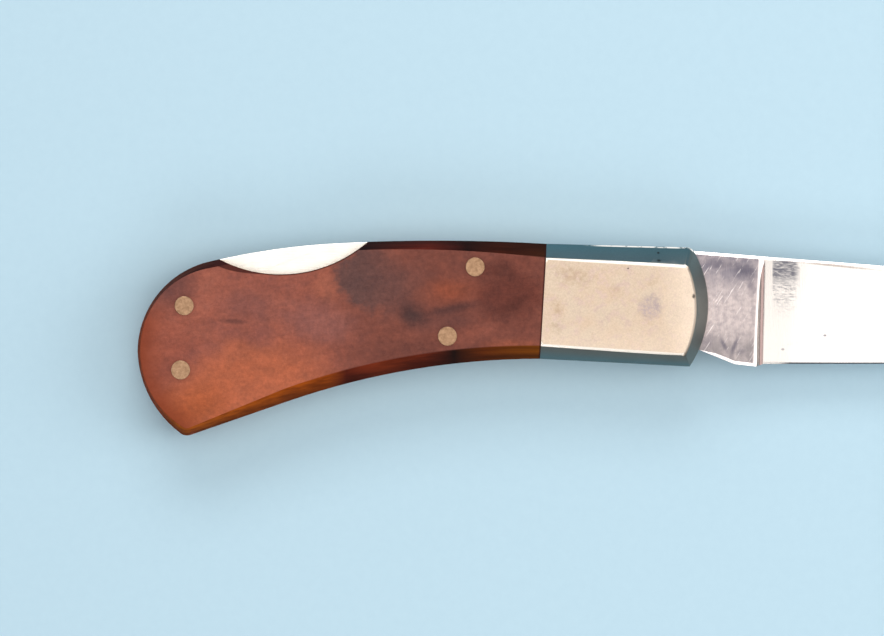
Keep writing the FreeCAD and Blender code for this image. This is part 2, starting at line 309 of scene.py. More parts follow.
# wood of the scales: reddish brown, clouded, rubbed to a soft sheen
wood = {
    "gloss": 0.08,
    "rough": (0.34, 0.50),
    "bevelRough": 0.85,
    "bumpDepth": 0.008,
    "scratches": [(80, 0.17), (-20, 0.18)],
    # tones of the redder half, towards the butt, and of the browner one
    "buttHalf": [(0.32, tint(138, 82, 72)), (0.50, tint(153, 88, 72)), (0.68, tint(166, 98, 80))],
    "bolsterHalf": [(0.32, tint(110, 64, 55)), (0.50, tint(125, 72, 60)), (0.68, tint(138, 80, 66))],
    "halfFade": (-54.0, -34.0),
    "cloudRun": ((0.10, 0.15, 0.15), 10),
    "cloudNoise": (1.0, 6, 0.62, 0.5),
    "flip": -84.0,  # the lower scale has its clouds the other way round
    "cloudGrain": 0.30,
    # colour, centre and size of each cloud, turn, strength, ragged edge, core
    "clouds": [
        (tint(181, 100, 69), (-58.5, -8.0), (18.0, 8.4), 14, 0.85, 0.30, 0.40),
        (tint(146, 77, 60), (-69.6, -1.5), (6.5, 9.0), 0, 0.50, 0.60, 0.10),
        (tint(166, 84, 45), (-66.0, -11.5), (9.0, 6.0), 30, 0.60, 0.30, 0.10),
        (tint(170, 100, 78), (-45.0, 8.0), (3.2, 3.6), 10, 0.55, 0.50, 0.20),
        (tint(150, 78, 54), (-26.3, 7.4), (8.2, 3.0), 3, 0.66, 0.60, 0.10),
        (tint(156, 86, 62), (-15.5, -1.6), (6.5, 2.0), -3, 0.60, 0.50, 0.30),
        (tint(100, 64, 61), (-68.8, 7.9), (7.4, 4.6), 44, 0.72, 0.70, 0.10),
        (tint(126, 80, 74), (-57.0, 5.4), (7.0, 4.0), -10, 0.58, 0.80, 0.10),
        (tint(180, 100, 70), (-58.4, -2.0), (5.4, 2.8), -16, 0.55, 0.40, 0.20),
        (tint(92, 58, 54), (-59.6, 2.6), (2.8, 0.6), -4, 0.60, 0.90, 0.20),
        (tint(146, 92, 83), (-46.5, 2.6), (9.0, 4.2), -16, 0.75, 0.70, 0.20),
        (tint(104, 70, 65), (-35.6, 8.2), (10.0, 7.0), -10, 0.75, 0.60, 0.10),
        (tint(72, 51, 50), (-31.5, 3.5), (3.9, 2.9), -14, 0.95, 0.60, 0.05),
        (tint(82, 52, 49), (-25.2, 4.6), (7.4, 1.2), 12, 0.85, 0.70, 0.10),
        (tint(106, 66, 60), (-26.5, 2.6), (7.0, 2.6), 8, 0.60, 0.60, 0.10),
        (tint(100, 52, 43), (-16.4, 7.4), (7.6, 6.6), 0, 0.80, 1.00, 0.30),
        (tint(64, 34, 31), (-16.0, 5.0), (3.6, 2.0), 20, 0.60, 1.20, 0.10),
        (tint(64, 34, 31), (-17.6, 10.4), (3.6, 2.4), 0, 0.50, 1.20, 0.10),
    ],
    # dark cloud with a scalloped edge on its butt side, lost in the rest on the other
    "smoke": (tint(99, 70, 66), (-37.4, 9.4), (7.6, 6.0), -12, 0.90, 0.95, 0.66),
    "smokeGrain": 0.55,
    "smokeFade": (-32.0, -41.0),
    # a tone has its strength and what it multiplies the colour by, from the dark to the light of its noise
    "grainRun": ((0.16, 1.5, 1.5), 8),
    "grainNoise": (1.0, 6, 0.6, 0.4),
    "grainTone": (0.20, [(0.32, (0.68, 0.64, 0.63, 1)), (0.64, (1.12, 1.10, 1.08, 1))]),
    "driftNoise": (0.55, 5, 0.7, 0.3),
    "driftTone": (0.70, [(0.32, (0.72, 0.76, 0.82, 1)), (0.66, (1.16, 1.10, 1.04, 1))]),  # lilac to orange
    "mottleNoise": (1.9, 6, 0.75),
    "mottleTone": (0.55, [(0.30, (0.60, 0.57, 0.58, 1)), (0.66, (1.20, 1.18, 1.17, 1))]),
    "pore": tint(70, 34, 26),
    "poreRun": ((0.9, 7.0, 7.0), 7),
    "poreFade": (0.67, 0.76),
    "poreStrength": 0.25,
    "pinRing": ((2.3, 2.3), 0, 0.3, 0.8, 0.6),  # dirt round the pins
    "pinRingStrength": 0.22,
    "butt": tint(128, 54, 26),  # painted shade on the border of the butt, outside a round core
    "buttCore": ((-55.5, -1.2), (19.8, 17.4), 0, 0.12, 0.2, 0.72),
    "buttAlong": (-63.0, -69.0),
    "buttAcross": (7.0, 1.5),
    "buttStrength": 0.85,
    # painted reflections, glow and shade on the bevels, from the butt to the bolster
    "bevelSpan": (-76.0, -11.0),
    "lowerBevelPaintedLight": [
        (-76.0, tint(160, 80, 14)), (-45.0, tint(156, 70, 12)),
        (-42.0, tint(92, 30, 14)), (-36.0, tint(122, 46, 20)),
        (-29.5, tint(96, 34, 16)), (-25.0, tint(26, 11, 8)),
        (-20.5, tint(104, 45, 8)), (-11.0, tint(136, 71, 6)),
    ],
    "upperBevelPaintedLight": [
        (-76.0, tint(52, 20, 17)), (-66.0, tint(38, 12, 11)),
        (-60.0, tint(90, 30, 23)), (-40.0, tint(26, 8, 8)),
        (-29.0, tint(97, 31, 20)), (-23.0, tint(32, 8, 6)),
        (-18.0, tint(66, 24, 11)), (-11.0, tint(56, 26, 12)),
    ],
    "bevelChange": (-2.0, 3.0),  # across the knife, from the lower ones to the upper
    "foot": tint(34, 13, 10),  # painted shade: the bevels darken towards their foot
    "footFade": (3.0, 5.9, 0.62, 0.0),  # from the middle of the knife
    "wall": tint(84, 40, 29),  # the upright sides, between bevel and liner
    "wallButtPaintedGlow": tint(128, 56, 26),  # painted glow on the upright sides round the lower corner of the butt
    "wallButtAlong": (-60.0, -68.0),
    "wallButtAcross": (8.0, 1.0),
    "wallFacing": (0.20, 0.36),
    "flatFacing": (0.68, 0.92),
    "streakRun": ((0.07, 1.1, 1.1), 0),
    "streakTone": (0.6, [(0.36, (0.42, 0.36, 0.34, 1)), (0.62, (1.3, 1.3, 1.3, 1))]),
    "seam": tint(44, 20, 17),  # dark line where the wood meets the bolster
    "seamLean": 3.3,
    "seamFade": (-0.34, -0.10, 0.0, 0.85),
    "rim": tint(58, 22, 19),  # painted shade along the rim of the thumb notch, wide at the butt end
    "notch": ((-52.33, 30.93), 20.9),  # centre and radius
    "rimWidth": (-54.5, -62.5, 0.20, 1.05),
    "rimFade": (0.06, -0.10, 0.0, 0.85),
}


def bevelPaintedLight(tree, along, stops):
    start, end = wood["bevelSpan"]
    return ramp(tree, along, [((at - start) / (end - start), colour) for at, colour in stops])


def makeWood():
    material, tree, shader, place, normal = startMaterial("rubbedWood", {"Specular IOR Level": wood["gloss"]})
    axes = split(tree, place)
    upper = calc(tree, "GREATER_THAN", axes["Z"], pivot.z / mm)
    seenX = between(tree, upper, minus(tree, wood["flip"], axes["X"]), axes["X"])
    seen = put(tree, "CombineXYZ", {0: seenX, 1: axes["Y"], 2: axes["Z"]}).outputs[0]

    # clouds on the flat
    cloud = noise(tree, stretch(tree, place, *wood["cloudRun"]), *wood["cloudNoise"])
    halves = [ramp(tree, cloud, wood[half]) for half in ("buttHalf", "bolsterHalf")]
    colour = mix(tree, remap(tree, seenX, *wood["halfFade"]), *halves)
    for shade, centre, size, turn, strength, ragged, core in wood["clouds"]:
        spot = patch(tree, seen, centre, size, turn, ragged, wood["cloudGrain"], core)
        colour = mix(tree, times(tree, spot, strength), colour, shade)
    shade, centre, size, turn, strength, ragged, core = wood["smoke"]
    spot = patch(tree, seen, centre, size, turn, ragged, wood["smokeGrain"], core)
    spot = times(tree, spot, remap(tree, seenX, *wood["smokeFade"]), strength)
    colour = mix(tree, spot, colour, shade)

    # grain, pores, dirt round the pins, painted shade on the border of the butt
    grain = noise(tree, stretch(tree, place, *wood["grainRun"]), *wood["grainNoise"])
    colour = tone(tree, colour, grain, *wood["grainTone"])
    colour = tone(tree, colour, noise(tree, place, *wood["driftNoise"]), *wood["driftTone"])
    mottle = noise(tree, place, *wood["mottleNoise"])
    colour = tone(tree, colour, mottle, *wood["mottleTone"])
    pores = remap(tree, noise(tree, stretch(tree, place, *wood["poreRun"]), 1.0, 2), *wood["poreFade"])
    colour = mix(tree, times(tree, pores, wood["poreStrength"]), colour, wood["pore"])
    for pin in scalePins:
        ring = patch(tree, place, middle(pin), *wood["pinRing"])
        colour = mix(tree, times(tree, ring, wood["pinRingStrength"]), colour, wood["pore"])
    # painted shade on the border of the butt
    butt = minus(tree, 1.0, patch(tree, place, *wood["buttCore"]))
    butt = times(tree, butt, remap(tree, axes["X"], *wood["buttAlong"]))
    butt = times(tree, butt, remap(tree, axes["Y"], *wood["buttAcross"]), wood["buttStrength"])
    colour = mix(tree, butt, colour, wood["butt"])

    # bevels and upright sides, with painted reflections, glow and shade
    start, end = wood["bevelSpan"]
    along = put(tree, "MapRange", {"Value": axes["X"], "From Min": start, "From Max": end}).outputs[0]
    # painted reflections, glow and shade on the bevels, darker at their foot
    bevels = [bevelPaintedLight(tree, along, wood[edge]) for edge in ("lowerBevelPaintedLight", "upperBevelPaintedLight")]
    bevel = mix(tree, remap(tree, axes["Y"], *wood["bevelChange"]), *bevels)
    bevel = mix(tree, remap(tree, fromMiddle(tree, axes["Z"]), *wood["footFade"]), bevel, wood["foot"])
    # painted glow on the upright sides round the lower corner of the butt
    low = remap(tree, axes["X"], *wood["wallButtAlong"])
    low = times(tree, low, remap(tree, axes["Y"], *wood["wallButtAcross"]))
    wall = mix(tree, low, wood["wall"], wood["wallButtPaintedGlow"])
    bevel = mix(tree, facing(tree, normal, *wood["wallFacing"]), wall, bevel)
    streak = noise(tree, stretch(tree, place, *wood["streakRun"]), 1.0, 4, 0.6)
    bevel = tone(tree, bevel, streak, *wood["streakTone"])
    flat = facing(tree, normal, *wood["flatFacing"])
    colour = mix(tree, flat, bevel, colour)

    # dark line where the wood meets the bolster, and painted shade along the rim of the notch
    lean = math.radians(wood["seamLean"])
    corner = (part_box("scale_upper")[1].x / mm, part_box("bolster_upper")[1].y / mm, 0)
    apart = vectorCalc(tree, "SUBTRACT", place, corner)["Vector"]
    behind = vectorCalc(tree, "DOT_PRODUCT", apart, (math.cos(lean), -math.sin(lean), 0))["Value"]
    colour = mix(tree, remap(tree, behind, *wood["seamFade"]), colour, wood["seam"])
    # painted shade along the rim of the notch
    centre, radius = wood["notch"]
    apart = vectorCalc(tree, "SUBTRACT", place, (*centre, 0))["Vector"]
    apart = vectorCalc(tree, "MULTIPLY", apart, (1, 1, 0))["Vector"]
    away = minus(tree, vectorCalc(tree, "LENGTH", apart)["Value"], radius)
    wedge = minus(tree, away, remap(tree, axes["X"], *wood["rimWidth"]))
    colour = mix(tree, remap(tree, wedge, *wood["rimFade"]), colour, wood["rim"])

    smear = remap(tree, noise(tree, place, 0.25, 4, 0.6), 0.3, 0.7, *wood["rough"])
    lines = plus(tree, *(scratches(tree, place, *line) for line in wood["scratches"]))
    sunk = plus(tree, pores, times(tree, lines, 0.3))
    height = minus(tree, times(tree, mottle, 0.5), sunk)
    wire(tree, shader, {
        "Base Color": colour,
        "Roughness": between(tree, flat, wood["bevelRough"], smear),
        "Normal": bump(tree, height, wood["bumpDepth"]),
    })
    return material


# nickel silver of the bolsters: warm satin with soft smudges, bevels with painted reflections and shade, worn
# edges painted bright as a highlight
bolsterMetal = {
    "rough": (0.34, 0.44),
    "bumpDepth": 0.005,
    "scratches": [(3, 0.17, 0.08, 7.0), (70, 0.19)],
    "flat": [(0.35, tint(194, 172, 151)), (0.6, tint(204, 185, 165))],
    "blotchNoise": (0.35, 5, 0.6, 0.4),
    "rose": tint(195, 171, 161),
    "roseNoise": (0.9, 4, 0.6),
    "roseFade": (0.48, 0.68, 0.0, 0.7),
    "shine": tint(222, 203, 184),  # lighter towards the front and the edge side
    "shineAlong": (6.0, 13.0, 0.0, 0.85),
    "shineAcross": (3.0, -2.5, 0.0, 0.36),
    "sandNoise": (4.0, 4, 0.75),
    "sandShades": [(0.3, (0.72, 0.72, 0.70, 1)), (0.7, (1.1, 1.1, 1.1, 1))],
    "sandOnFlat": 0.60,
    "sandOnBevel": 0.35,
    "smudge": tint(162, 138, 114),
    # centre and size, turn, strength
    "smudges": [
        ((-6.2, 9.9), (4.6, 2.4), -14, 0.46),
        ((-8.6, 4.6), (1.3, 2.4), 10, 0.46),
        ((0.4, 7.4), (1.4, 2.0), -20, 0.40),
        ((-9.0, 1.6), (1.5, 1.2), 0, 0.40),
        ((-3.2, 0.4), (0.35, 0.7), 0, 0.45),
        ((6.3, 8.8), (1.2, 1.0), 0, 0.30),
    ],
    "smudgeEdge": (1.3, 1.0, 0.0),  # ragged, grain, core
    "smudgeNoise": (1.5, 4, 0.7),
    "smudgeFade": (0.36, 0.60, 0.20, 1.25),
    "pinMark": tint(166, 150, 147),  # where the end of the pivot pin shows through
    "pinMarkForm": ((2.4, 2.6), 0, 0.9, 1.1, 0.35),
    "pinMarkNoise": (2.4, 4, 0.75),
    "pinMarkFade": (0.36, 0.60, 0.25, 1.1),
    # painted reflections on the bevels: teal above, greyer below, bluer at the foot, lighter at the front
    "bevel": tint(102, 121, 126),
    "lowerBevelPaintedLight": tint(112, 108, 101),
    "lowerFacing": (-0.6, 0.2),
    "bevelFootPaintedReflection": tint(84, 127, 135),
    "footFade": (3.2, 5.4, 0.50, 0.0),  # from the middle of the knife
    "frontBevelPaintedReflection": tint(120, 124, 120),
    "frontFacing": (0.25, 0.55),
    "flatFacing": (0.70, 0.90),
    # worn border, made brighter than wear alone as a painted highlight
    "wearAndHighlight": tint(253, 247, 238),
    "wearAndHighlightFacing": (0.9998, 0.985, 0.0, 0.8),
    "wearAndHighlightAtFront": (0.02, 0.10, 1.0, 0.2),
    # painted shade on the rounded front border
    "frontBorderPaintedShade": tint(136, 123, 111),
    "frontBorderShadeFacing": (0.06, 0.38, 0.0, 0.9),
    "speck": tint(50, 46, 44),
    "specks": [
        ((12.7, 6.6), (0.34, 0.50)), ((2.4, 10.95), (0.24, 0.20)),
        ((7.2, 13.45), (0.32, 0.26)), ((7.25, 12.2), (0.46, 0.28)),
    ],
    "speckEdge": (0.7, 2.0, 0.3),  # ragged, grain, core
    "speckStrength": 0.85,
    # painted highlight: a white line at the foot of the back bevel
    "highlightAlong": (-5.0, -1.0),
    "highlightHeight": (3.28, 3.20),  # from the middle of the knife
    "highlightFacing": (0.3, 0.5),
    "highlightBack": (0.4, 0.55),
    "highlightNoise": (0.7, 4, 0.7),
    "highlightFade": (0.38, 0.52),
}


def makeNickelSilver():
    material, tree, shader, place, normal = startMaterial("nickelSilver", {"Metallic": 1.0})
    axes = split(tree, place)
    turned = split(tree, normal)
    upright = calc(tree, "ABSOLUTE", turned["Z"])
    rise = fromMiddle(tree, axes["Z"])

    # flat
    blotch = noise(tree, place, *bolsterMetal["blotchNoise"])
    colour = ramp(tree, blotch, bolsterMetal["flat"])
    blush = remap(tree, noise(tree, place, *bolsterMetal["roseNoise"]), *bolsterMetal["roseFade"])
    colour = mix(tree, blush, colour, bolsterMetal["rose"])
    shine = remap(tree, axes["Y"], *bolsterMetal["shineAcross"])
    shine = calc(tree, "MAXIMUM", shine, remap(tree, axes["X"], *bolsterMetal["shineAlong"]))
    colour = mix(tree, shine, colour, bolsterMetal["shine"])
    sand = noise(tree, place, *bolsterMetal["sandNoise"])
    colour = tone(tree, colour, sand, bolsterMetal["sandOnFlat"], bolsterMetal["sandShades"])
    broken = remap(tree, noise(tree, place, *bolsterMetal["smudgeNoise"]), *bolsterMetal["smudgeFade"])
    for centre, size, turn, strength in bolsterMetal["smudges"]:
        spot = patch(tree, place, centre, size, turn, *bolsterMetal["smudgeEdge"])
        colour = mix(tree, times(tree, spot, broken, strength), colour, bolsterMetal["smudge"])
    mark = patch(tree, place, pivot / mm, *bolsterMetal["pinMarkForm"])
    crumb = remap(tree, noise(tree, place, *bolsterMetal["pinMarkNoise"]), *bolsterMetal["pinMarkFade"])
    colour = mix(tree, times(tree, mark, crumb), colour, bolsterMetal["pinMark"])

    # bevels with painted reflections and shade, and the worn border between, painted brighter as a highlight
    back = remap(tree, turned["Y"], *bolsterMetal["lowerFacing"])
    bevel = mix(tree, back, bolsterMetal["lowerBevelPaintedLight"], bolsterMetal["bevel"])
    bevel = mix(tree, remap(tree, rise, *bolsterMetal["footFade"]), bevel, bolsterMetal["bevelFootPaintedReflection"])
    front = remap(tree, turned["X"], *bolsterMetal["frontFacing"])
    bevel = mix(tree, front, bevel, bolsterMetal["frontBevelPaintedReflection"])
    bevel = tone(tree, bevel, sand, bolsterMetal["sandOnBevel"], bolsterMetal["sandShades"])
    # worn border, brightened as a painted highlight
    edge = remap(tree, upright, *bolsterMetal["wearAndHighlightFacing"])
    edge = times(tree, edge, remap(tree, turned["X"], *bolsterMetal["wearAndHighlightAtFront"]))
    colour = mix(tree, edge, colour, bolsterMetal["wearAndHighlight"])
    # painted shade on the rounded front border
    front = remap(tree, turned["X"], *bolsterMetal["frontBorderShadeFacing"])
    colour = mix(tree, front, colour, bolsterMetal["frontBorderPaintedShade"])
    colour = mix(tree, remap(tree, upright, *bolsterMetal["flatFacing"]), bevel, colour)
    for centre, size in bolsterMetal["specks"]:
        speck = patch(tree, place, centre, size, 0, *bolsterMetal["speckEdge"])
        colour = mix(tree, times(tree, speck, bolsterMetal["speckStrength"]), colour, bolsterMetal["speck"])
    # painted highlight: a white, unmetallic line at the foot of the back bevel
    paintedHighlight = times(
        tree,
        remap(tree, rise, *bolsterMetal["highlightHeight"]),
        remap(tree, upright, *bolsterMetal["highlightFacing"]),
        remap(tree, turned["Y"], *bolsterMetal["highlightBack"]),
        remap(tree, axes["X"], *bolsterMetal["highlightAlong"]),
        remap(tree, noise(tree, place, *bolsterMetal["highlightNoise"]), *bolsterMetal["highlightFade"]),
    )
    colour = mix(tree, paintedHighlight, colour, bolsterMetal["wearAndHighlight"])

    lines = plus(tree, *(scratches(tree, place, *line) for line in bolsterMetal["scratches"]))
    height = minus(tree, times(tree, sand, 0.4), times(tree, lines, 0.5))
    wire(tree, shader, {
        "Metallic": minus(tree, 1.0, paintedHighlight),
        "Base Color": colour,
        "Roughness": remap(tree, blotch, 0.3, 0.7, *bolsterMetal["rough"]),
        "Normal": bump(tree, height, bolsterMetal["bumpDepth"]),
    })
    return material


# steel of the blade: bright hollow grind, duller stained flat at the root
bladeSteel = {
    "rough": (0.20, 0.34),
    "scuffRough": 0.15,
    "bumpDepth": 0.004,
    "halfThickness": 1.25,
    # form of the plunge, where the grind starts
    "plungeFoot": (16.9, -9.0),  # from the pivot
    "plungeRadius": 1.15,
    "plungeLean": 0.0175,
    "groundDepth": (0.01, 0.04),
    "groundStart": (-0.2, 0.0),
    "groundPast": (-0.1, 0.2),  # from the end of the plunge
    # flat at the root
    "root": tint(184, 171, 168),
    "rootDull": tint(152, 142, 143),
    "rootNoise": (1.1, 6, 0.68),
    "rootFade": (0.34, 0.70),
    "wideNoise": (0.5, 4, 0.6),
    "rootTop": tint(120, 114, 122),
    "rootTopAcross": (5.5, 11.5),
    "rootTopFade": (0.3, 0.6, 0.5, 1.0),
    "rootLow": tint(126, 119, 120),
    "rootLowAcross": (2.5, -2.0),
    "rootLowFade": (0.3, 0.6, 0.4, 0.9),
    "stain": tint(86, 82, 94),
    # centre and size, turn, strength, ragged edge
    "stains": [
        ((20.9, 10.6), (2.9, 1.9), -20, 0.85, 0.9),
        ((16.9, 11.6), (3.6, 1.2), -4, 0.60, 1.0),
        ((22.0, 8.2), (0.9, 1.8), 10, 0.45, 1.0),
        ((15.1, -0.5), (1.3, 2.0), -30, 0.40, 0.8),
        ((17.6, -1.0), (0.50, 1.9), 26, 0.75, 0.5),
        ((19.3, -1.3), (0.55, 2.3), -20, 0.75, 0.5),
        ((20.4, -2.1), (1.1, 1.0), 0, 0.40, 0.9),
    ],
    "stainEdge": (1.6, 0.1),  # grain, core
    # rubbed bright: scratches and the border at the plunge; the chamfers get the same colour as a painted
    # highlight
    "rubbedAndHighlight": tint(250, 240, 236),
    "rootScratches": (58, 0.13, 0.25, 4.5),
    "rootScratchStrength": 0.45,
    "borderLean": 0.055,
    "borderFade": (-0.75, -0.35, 0.0, 0.9),
    "chamferFrom": (0.2, 0.35),
    "chamferTo": (0.7, 0.5),
    # grind
    "grind": tint(252, 246, 240),
    "grindNear": tint(211, 204, 198),  # next to the plunge
    "grindFade": (3.0, 14.0),
    "grindLine": tint(232, 226, 222),
    "grindLineRun": ((9.0, 0.10, 1.0), 3),
    "grindLineNoise": (1.0, 4, 0.7),
    "grindLineFade": (0.35, 0.65, 0.0, 0.25),
    "grindScratches": (12, 0.18, 0.06, 6.0),
    "spineFacing": (0.30, 0.15),  # marks stop at the chamfer of the spine
    "scuff": tint(96, 96, 108),
    "scuffPlace": ((27.2, 9.6), (2.7, 8.6), 0, 0.5, 1.2, 0.55),
    "scuffStart": (25.2, 25.45),
    "waveRun": ((0.8, 4.2, 1.0), -6),
    "waveNoise": (1.0, 5, 0.65, 1.2),
    "smearAcross": (7.6, 10.4),
    "smearFade": (0.32, 0.60, 0.18, 0.94),
    "rippleAcross": (1.6, 7.4, 0.0, 0.55),
    "rippleFade": (0.48, 0.58),
    # painted shade along the top of the grind, under the spine chamfer
    "spineLineShade": tint(170, 155, 147),
    "spineLinePlace": ((35.4, 11.42), (10.0, 0.30), -6.0, 0.4, 0.9, 0.2),
    "spineLineStrength": 0.8,
    "specks": [((27.0, -1.8), (0.36, 0.26), 0.55), ((33.65, 0.4), (0.40, 0.28), 0.75)],
    # painted shade in the plunge
    "plunge": tint(142, 122, 118),
    "plungeEnd": (-0.03, -0.27),  # from the end of the plunge
    "plungeWall": (0.30, 0.48, 0.35, 1.0),  # less on the steep wall
    # painted shade on the edge bevel
    "edgeBevelShade": tint(74, 78, 84),
    "edgeBevelShadeFacing": (-0.20, -0.28),
    "edgeBevelShadeHeight": (0.11, 0.07),  # from the middle of the blade
    "edgeBevelShadeStart": (25.5, 28.5),
}


def makeBladeSteel():
    material, tree, shader, place, normal = startMaterial("bladeSteel", {"Metallic": 1.0})
    foot = pivot / mm + Vector((*bladeSteel["plungeFoot"], 0))
    axes = split(tree, place)
    across = split(tree, normal)["Y"]
    tilt = calc(tree, "ABSOLUTE", across)
    reach = fromMiddle(tree, axes["Z"])
    ahead = minus(tree, axes["X"], foot.x)
    above = minus(tree, axes["Y"], foot.y)

    def pastPlunge(value, span):
        radius = bladeSteel["plungeRadius"]
        return remap(tree, value, radius + span[0], radius + span[1])

    sunk = minus(tree, bladeSteel["halfThickness"], reach)
    ground = remap(tree, sunk, *bladeSteel["groundDepth"])
    ground = times(tree, ground, remap(tree, ahead, *bladeSteel["groundStart"]))
    ground = calc(tree, "MAXIMUM", ground, pastPlunge(ahead, bladeSteel["groundPast"]))

    # flat at the root
    cloudy = noise(tree, place, *bladeSteel["rootNoise"])
    dull = remap(tree, cloudy, *bladeSteel["rootFade"])
    root = mix(tree, dull, bladeSteel["root"], bladeSteel["rootDull"])
    wide = noise(tree, place, *bladeSteel["wideNoise"])
    for end in ("rootTop", "rootLow"):
        amount = remap(tree, axes["Y"], *bladeSteel[end + "Across"])
        amount = times(tree, amount, remap(tree, wide, *bladeSteel[end + "Fade"]))
        root = mix(tree, amount, root, bladeSteel[end])
    for centre, size, turn, strength, ragged in bladeSteel["stains"]:
        spot = patch(tree, place, centre, size, turn, ragged, *bladeSteel["stainEdge"])
        root = mix(tree, times(tree, spot, strength), root, bladeSteel["stain"])
    rub = scratches(tree, place, *bladeSteel["rootScratches"])
    rub = times(tree, rub, bladeSteel["rootScratchStrength"])
    past = minus(tree, ahead, times(tree, above, bladeSteel["borderLean"]))
    border = remap(tree, past, *bladeSteel["borderFade"])
    # the chamfers are painted bright as a highlight
    chamferHighlight = remap(tree, tilt, *bladeSteel["chamferFrom"])
    chamferHighlight = times(tree, chamferHighlight, remap(tree, tilt, *bladeSteel["chamferTo"]))
    for amount in (rub, border, chamferHighlight):
        root = mix(tree, amount, root, bladeSteel["rubbedAndHighlight"])

    # grind, with its scuff, marks and painted shade in the plunge
    lines = noise(tree, stretch(tree, place, *bladeSteel["grindLineRun"]), *bladeSteel["grindLineNoise"])
    far = remap(tree, ahead, *bladeSteel["grindFade"])
    bright = mix(tree, far, bladeSteel["grindNear"], bladeSteel["grind"])
    bright = mix(tree, remap(tree, lines, *bladeSteel["grindLineFade"]), bright, bladeSteel["grindLine"])
    inside = remap(tree, across, *bladeSteel["spineFacing"])
    waves = noise(tree, stretch(tree, place, *bladeSteel["waveRun"]), *bladeSteel["waveNoise"])
    smear = remap(tree, axes["Y"], *bladeSteel["smearAcross"])
    smear = times(tree, smear, remap(tree, waves, *bladeSteel["smearFade"]))
    ripples = remap(tree, axes["Y"], *bladeSteel["rippleAcross"])
    ripples = times(tree, ripples, remap(tree, waves, *bladeSteel["rippleFade"]))
    scuff = times(
        tree,
        patch(tree, place, *bladeSteel["scuffPlace"]),
        inside,
        remap(tree, axes["X"], *bladeSteel["scuffStart"]),
        calc(tree, "MAXIMUM", smear, ripples),
    )
    bright = mix(tree, scuff, bright, bladeSteel["scuff"])
    # painted shade along the top of the grind
    line = times(tree, patch(tree, place, *bladeSteel["spineLinePlace"]), inside)
    bright = mix(tree, times(tree, line, bladeSteel["spineLineStrength"]), bright, bladeSteel["spineLineShade"])
    for centre, size, strength in bladeSteel["specks"]:
        speck = times(tree, patch(tree, place, centre, size), strength)
        bright = mix(tree, speck, bright, bladeSteel["stain"])
    # painted shade in the plunge
    inward = minus(tree, ahead, times(tree, above, bladeSteel["plungeLean"]))
    plunge = pastPlunge(inward, bladeSteel["plungeEnd"])
    plunge = times(tree, plunge, remap(tree, inward, *bladeSteel["plungeWall"]), inside)
    bright = mix(tree, plunge, bright, bladeSteel["plunge"])

    colour = mix(tree, ground, root, bright)
    # painted shade on the edge bevel
    edgeBevelShade = remap(tree, across, *bladeSteel["edgeBevelShadeFacing"])
    edgeBevelShade = times(tree, edgeBevelShade, remap(tree, reach, *bladeSteel["edgeBevelShadeHeight"]))
    edgeBevelShade = times(tree, edgeBevelShade, remap(tree, axes["X"], *bladeSteel["edgeBevelShadeStart"]))
    colour = mix(tree, edgeBevelShade, colour, bladeSteel["edgeBevelShade"])
    rough = remap(tree, lines, 0.3, 0.7, *bladeSteel["rough"])
    fine = plus(tree, lines, scratches(tree, place, *bladeSteel["grindScratches"]))
    height = plus(tree, times(tree, fine, ground), times(tree, cloudy, 0.4))
    wire(tree, shader, {
        "Base Color": colour,
        "Roughness": plus(tree, rough, times(tree, scuff, bladeSteel["scuffRough"])),
        "Normal": bump(tree, height, bladeSteel["bumpDepth"]),
    })
    return material


# steel of the lock bar and spacer, and the darker spring steel
barSteel = {
    "bright": tint(226, 219, 209),
    "dull": tint(210, 203, 194),
    "back": tint(198, 193, 187),
    "rough": (0.20, 0.34),
}
springSteel = {
    "bright": tint(150, 150, 156),
    "dull": tint(110, 108, 114),
    "back": tint(128, 127, 132),
    "rough": (0.30, 0.44),
}
drawnSteel = {
    "run": ((0.08, 7.0, 7.0), 0),
    "drawnShare": 0.6,
    "cloudShare": 0.4,
    "brightFade": (0.36, 0.52),
    "backFade": (0.34, 0.60, 0.0, 0.6),
    "sideFacing": (0.5, 0.9),  # the sides are rubbed bright
    "scratches": (20, 0.17),
    "bumpDepth": 0.004,
}


def makeBarSteel(name, finish):
    material, tree, shader, place, normal = startMaterial(name, {"Metallic": 1.0})
    drawn = noise(tree, stretch(tree, place, *drawnSteel["run"]), 1.0, 4, 0.65)
    cloudy = times(tree, noise(tree, place, 0.4, 4, 0.6), drawnSteel["cloudShare"])
    blend = plus(tree, times(tree, drawn, drawnSteel["drawnShare"]), cloudy)
    side = ramp(tree, blend, list(zip(drawnSteel["brightFade"], (finish["dull"], finish["bright"]))))
    back = mix(tree, remap(tree, blend, *drawnSteel["backFade"]), finish["back"], finish["dull"])
    height = plus(tree, drawn, scratches(tree, place, *drawnSteel["scratches"]))
    wire(tree, shader, {
        "Base Color": mix(tree, facing(tree, normal, *drawnSteel["sideFacing"]), back, side),
        "Roughness": remap(tree, drawn, 0.3, 0.7, *finish["rough"]),
        "Normal": bump(tree, height, drawnSteel["bumpDepth"]),
    })
    return material


